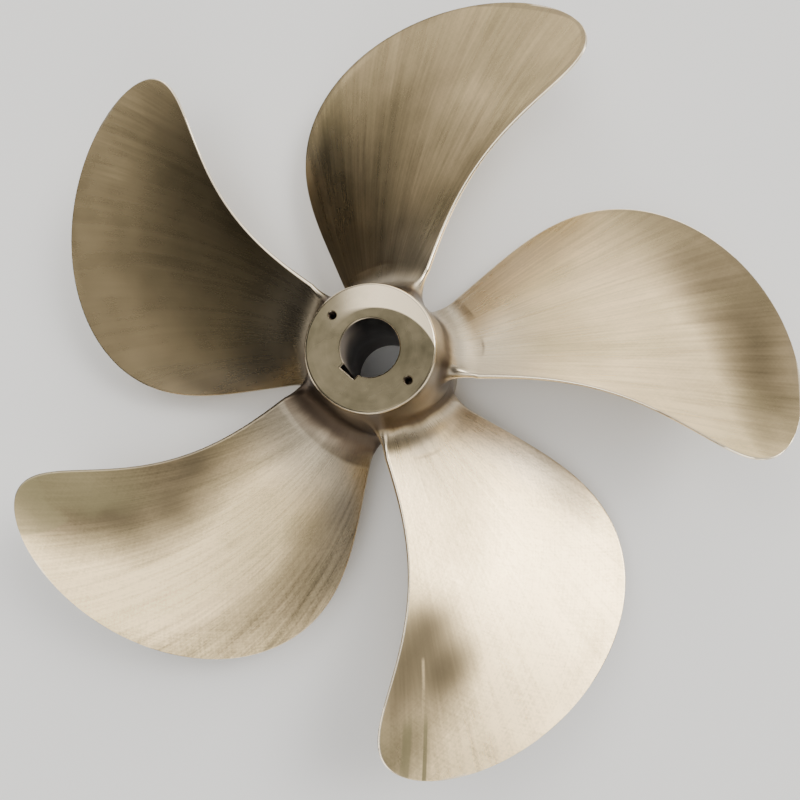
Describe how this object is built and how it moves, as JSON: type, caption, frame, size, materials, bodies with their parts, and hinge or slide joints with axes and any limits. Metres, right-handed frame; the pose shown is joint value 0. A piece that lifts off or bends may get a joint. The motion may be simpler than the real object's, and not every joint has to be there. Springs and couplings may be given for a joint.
{
  "type": "ship propeller",
  "caption": "Left-handed, fixed-pitch bronze ship propeller with broad skewed blades on a short hub with a tapered, keyed bore.",
  "frame": {"origin": "on the shaft axis, in the plane of the forward hub face that the propeller lies on", "axes": "+Z along the shaft axis, towards the aft face and away from the ship; +X towards the root of one blade"},
  "size_m": [0.9711, 0.9452, 0.195],
  "materials": {
    "cast_bronze": "brushed"
  },
  "bodies": {
    "root": {"propeller_casting": "cast_bronze"}
  },
  "joints": []
}
